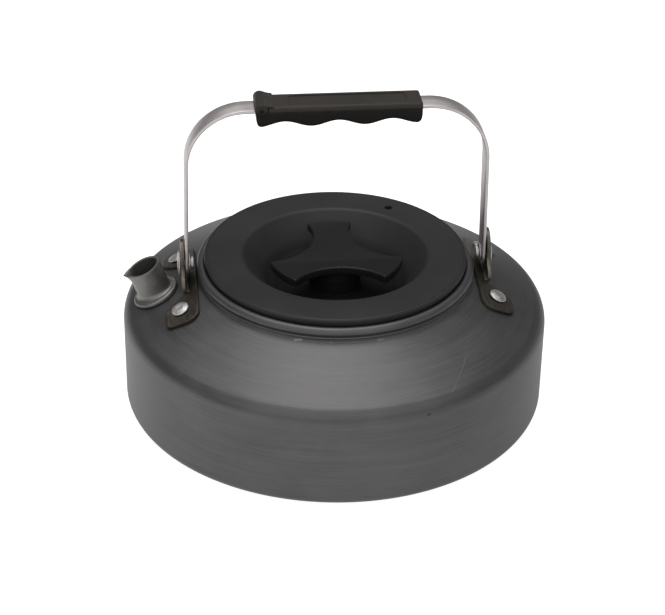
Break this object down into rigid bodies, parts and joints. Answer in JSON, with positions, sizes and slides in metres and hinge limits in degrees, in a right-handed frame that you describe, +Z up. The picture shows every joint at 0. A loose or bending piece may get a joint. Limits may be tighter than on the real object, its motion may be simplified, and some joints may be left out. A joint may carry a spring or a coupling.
{
  "type": "coffee kettle",
  "caption": "Low round camp kettle with a short tube spout, a swinging bail with a moulded grip and a lift-off dished lid with a three-armed knob.",
  "frame": {"origin": "centre of the flat base, on the surface that the kettle stands on", "axes": "+Z up along the vessel's axis, the spout on -X, the bail's pivot axis along X, -Y towards the viewer"},
  "size_m": [0.183, 0.183, 0.1415],
  "materials": {
    "anodised_aluminium": "dark grey hard-anodised, with fine turned grain",
    "spout_aluminium": "grey anodised, satin",
    "dark_steel": "dark satin sheet",
    "bright_steel": "bright, finely brushed along its length",
    "rivet_aluminium": "bright turned",
    "grip_plastic": "black moulded, fine matt grain",
    "lid_plastic": "black moulded, fine matt grain",
    "knob_plastic": "black moulded, semi-gloss",
    "seal_rubber": "black, soft"
  },
  "bodies": {
    "vessel": {"kettle_body": "anodised_aluminium", "spout": "spout_aluminium", "left_bracket": "dark_steel", "right_bracket": "dark_steel", "left_front_rivet": "rivet_aluminium", "left_rear_rivet": "rivet_aluminium", "right_front_rivet": "rivet_aluminium", "right_rear_rivet": "rivet_aluminium", "left_pivot_rivet": "rivet_aluminium", "right_pivot_rivet": "rivet_aluminium", "left_pivot_washer": "bright_steel", "right_pivot_washer": "bright_steel"},
    "bail": {"bail_strip": "bright_steel", "grip_base": "grip_plastic", "grip_cover": "grip_plastic"},
    "lid": {"lid_dish": "lid_plastic", "lid_seal": "seal_rubber", "lid_knob": "knob_plastic", "knob_screw": "bright_steel", "knob_washer": "bright_steel"}
  },
  "joints": [
    {"name": "bail_swing", "type": "hinge", "parent": "vessel", "child": "bail", "pos_m": [0, 0, 0.06531], "axis": [1, 0, 0], "range_deg": [-92, 92]},
    {"name": "lid_lift", "type": "slide", "parent": "vessel", "child": "lid", "axis": [0, 0, 1], "range_m": [0, 0.045]}
  ]
}
